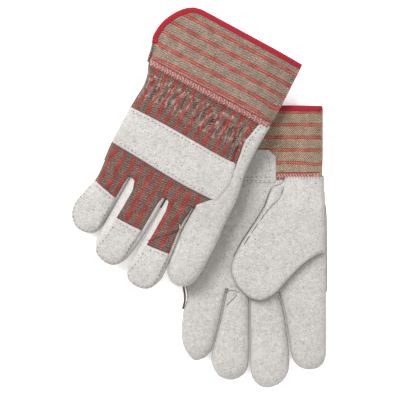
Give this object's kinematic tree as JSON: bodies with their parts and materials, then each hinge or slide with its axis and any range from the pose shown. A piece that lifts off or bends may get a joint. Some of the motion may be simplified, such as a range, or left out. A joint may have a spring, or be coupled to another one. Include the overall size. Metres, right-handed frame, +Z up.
{
  "type": "work gloves",
  "caption": "Pair of leather-palm work gloves with striped canvas backs and stiff bound cuffs, one lying across the other.",
  "frame": {"origin": "middle of the pair's underside, on the table", "axes": "+Y from the left glove's fingertips towards the cuffs, +X towards the left glove's thumb side, +Z up from the table"},
  "size_m": [0.2354, 0.3484, 0.0404],
  "materials": {
    "suede": "split cowhide, napped",
    "cuff_canvas": "stiffened twill with red stripes",
    "back_canvas": "twill with red stripes",
    "binding": "woven tape",
    "lining": "brushed cotton",
    "elastic": "elastic web"
  },
  "bodies": {
    "left_hand": {"left_cuff_canvas": "cuff_canvas", "left_cuff_binding": "binding", "left_vein_patch": "suede", "left_palm_leather": "suede", "left_palm_lining": "lining", "left_back_canvas": "back_canvas", "left_outer_side_wall": "suede", "left_thumb_side_wall": "suede", "left_wrist_elastic": "elastic", "left_knuckle_strap": "suede", "left_side_leather": "suede"},
    "left_thumb": {"left_thumb_inner": "suede", "left_thumb_wall": "suede", "left_thumb_outer": "suede"},
    "left_little": {"left_little_front": "suede", "left_little_fourchette": "suede", "left_little_back": "back_canvas", "left_little_cap": "suede"},
    "left_ring": {"left_ring_front": "suede", "left_ring_fourchette": "suede", "left_ring_back": "back_canvas", "left_ring_cap": "suede"},
    "left_middle": {"left_middle_front": "suede", "left_middle_fourchette": "suede", "left_middle_back": "back_canvas", "left_middle_cap": "suede"},
    "left_index": {"left_index_front": "suede", "left_index_fourchette": "suede", "left_index_back": "suede"},
    "right_hand": {"right_cuff_canvas": "cuff_canvas", "right_cuff_binding": "binding", "right_vein_patch": "suede", "right_palm_leather": "suede", "right_palm_lining": "lining", "right_back_canvas": "back_canvas", "right_outer_side_wall": "suede", "right_thumb_side_wall": "suede", "right_wrist_elastic": "elastic", "right_knuckle_strap": "suede", "right_side_leather": "suede"},
    "right_thumb": {"right_thumb_inner": "suede", "right_thumb_wall": "suede", "right_thumb_outer": "suede"},
    "right_little": {"right_little_front": "suede", "right_little_fourchette": "suede", "right_little_back": "back_canvas", "right_little_cap": "suede"},
    "right_ring": {"right_ring_front": "suede", "right_ring_fourchette": "suede", "right_ring_back": "back_canvas", "right_ring_cap": "suede"},
    "right_middle": {"right_middle_front": "suede", "right_middle_fourchette": "suede", "right_middle_back": "back_canvas", "right_middle_cap": "suede"},
    "right_index": {"right_index_front": "suede", "right_index_fourchette": "suede", "right_index_back": "suede"}
  },
  "joints": [
    {"name": "left_little_curl", "type": "hinge", "parent": "left_hand", "child": "left_little", "pos_m": [0.00461, -0.09587, 0.0149], "axis": [-1, 0, 0], "range_deg": [0, 70]},
    {"name": "left_ring_curl", "type": "hinge", "parent": "left_hand", "child": "left_ring", "pos_m": [0.03431, -0.09587, 0.0149], "axis": [-1, 0, 0], "range_deg": [0, 70]},
    {"name": "left_middle_curl", "type": "hinge", "parent": "left_hand", "child": "left_middle", "pos_m": [0.06171, -0.09587, 0.0149], "axis": [-1, 0, 0], "range_deg": [0, 70]},
    {"name": "left_index_curl", "type": "hinge", "parent": "left_hand", "child": "left_index", "pos_m": [0.09761, -0.09587, 0.0149], "axis": [-1, 0, 0], "range_deg": [0, 70]},
    {"name": "left_thumb_spread", "type": "hinge", "parent": "left_hand", "child": "left_thumb", "pos_m": [0.11801, -0.01507, 0.01505], "axis": [0, 1, 0], "range_deg": [0, 110]},
    {"name": "right_glove_lift", "type": "slide", "parent": "left_hand", "child": "right_hand", "axis": [0, 0, 1], "range_m": [0, 0.12]},
    {"name": "right_little_bend", "type": "hinge", "parent": "right_hand", "child": "right_little", "pos_m": [-0.0783, 0.02603, 0.02776], "axis": [-0.8788, 0.4772, 0], "range_deg": [0, 35]},
    {"name": "right_ring_bend", "type": "hinge", "parent": "right_hand", "child": "right_ring", "pos_m": [-0.04873, 0.00997, 0.03586], "axis": [-0.8788, 0.4772, 0], "range_deg": [0, 35]},
    {"name": "right_middle_bend", "type": "hinge", "parent": "right_hand", "child": "right_middle", "pos_m": [-0.01994, -0.00566, 0.0404], "axis": [-0.8788, 0.4772, 0], "range_deg": [0, 35]},
    {"name": "right_index_bend", "type": "hinge", "parent": "right_hand", "child": "right_index", "pos_m": [0.00646, -0.02, 0.0404], "axis": [-0.8788, 0.4772, 0], "range_deg": [0, 35]},
    {"name": "right_thumb_drop", "type": "hinge", "parent": "right_hand", "child": "right_thumb", "pos_m": [0.05106, 0.03237, 0.02535], "axis": [-0.4772, -0.8788, 0], "range_deg": [0, 60]}
  ],
  "couplings": [
    {"joint": "right_thumb_drop", "follows": "right_glove_lift", "rad_per_m": 8.7}
  ]
}
